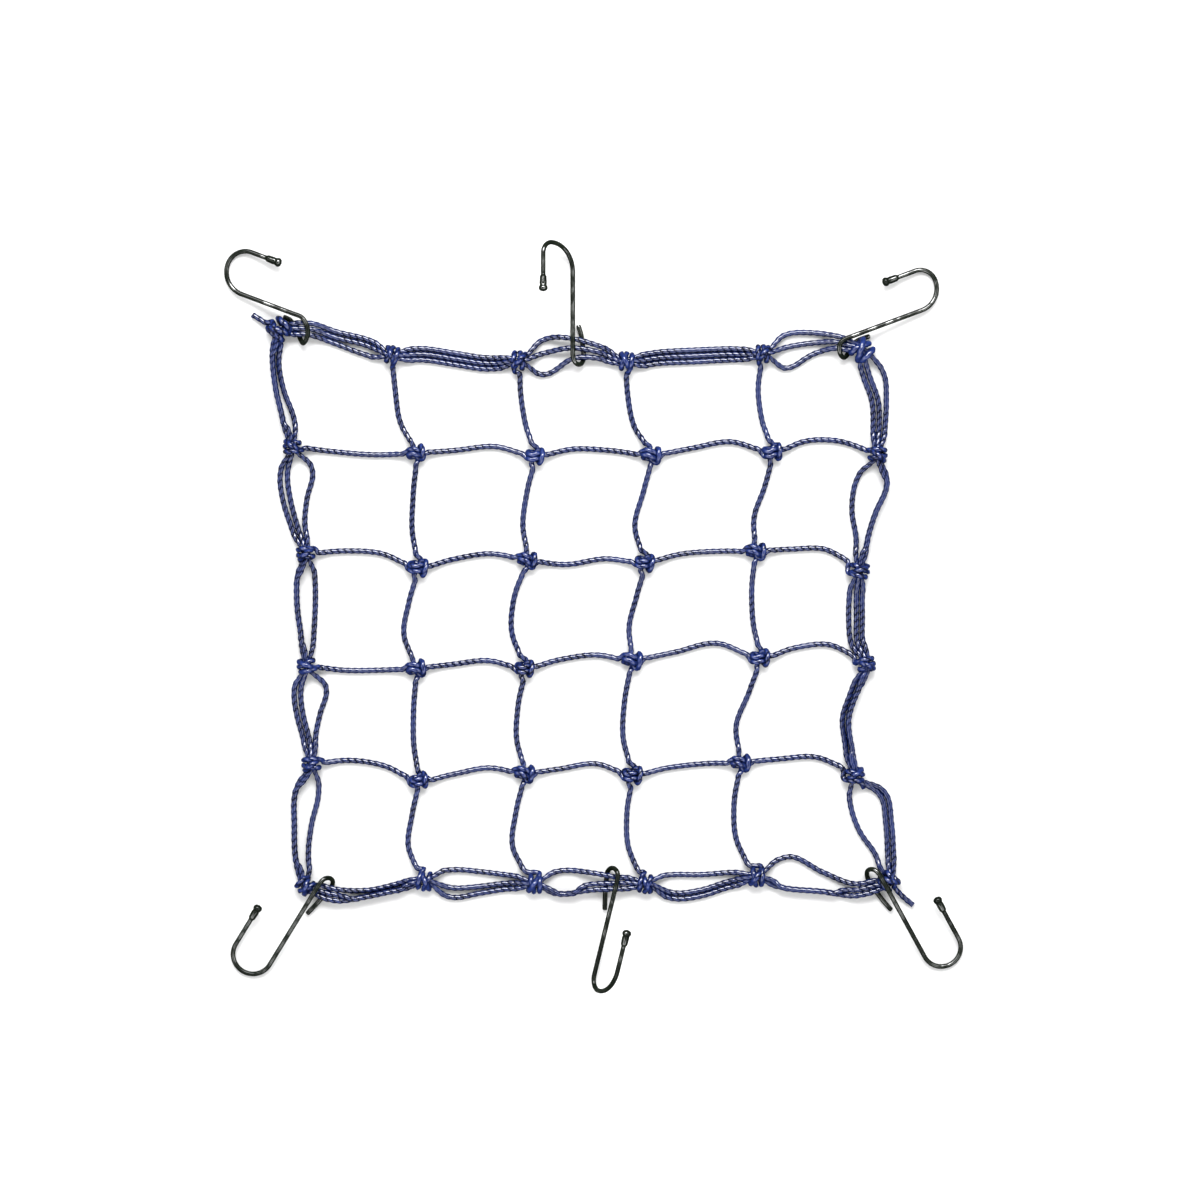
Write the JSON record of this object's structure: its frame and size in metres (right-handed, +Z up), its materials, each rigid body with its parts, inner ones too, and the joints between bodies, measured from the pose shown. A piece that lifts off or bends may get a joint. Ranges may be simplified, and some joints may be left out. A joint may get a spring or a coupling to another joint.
{
  "type": "luggage net",
  "caption": "Square net of knotted elastic cord with a tripled border cord and bent wire hooks along two opposite edges, laid flat.",
  "frame": {"origin": "on the floor under the middle of the outline, hooks included", "axes": "+X to the right of the net, +Y to its top edge as pictured, +Z up off the floor"},
  "size_m": [0.3881, 0.3941, 0.0256],
  "materials": {
    "elastic_cord": "braided, matt",
    "dark_wire": "dark plated wire, shiny"
  },
  "bodies": {
    "root": {"cord_net": "elastic_cord", "hook_top_left": "dark_wire", "hook_top_middle": "dark_wire", "hook_top_right": "dark_wire", "hook_bottom_left": "dark_wire", "hook_bottom_middle": "dark_wire", "hook_bottom_right": "dark_wire"}
  },
  "joints": []
}
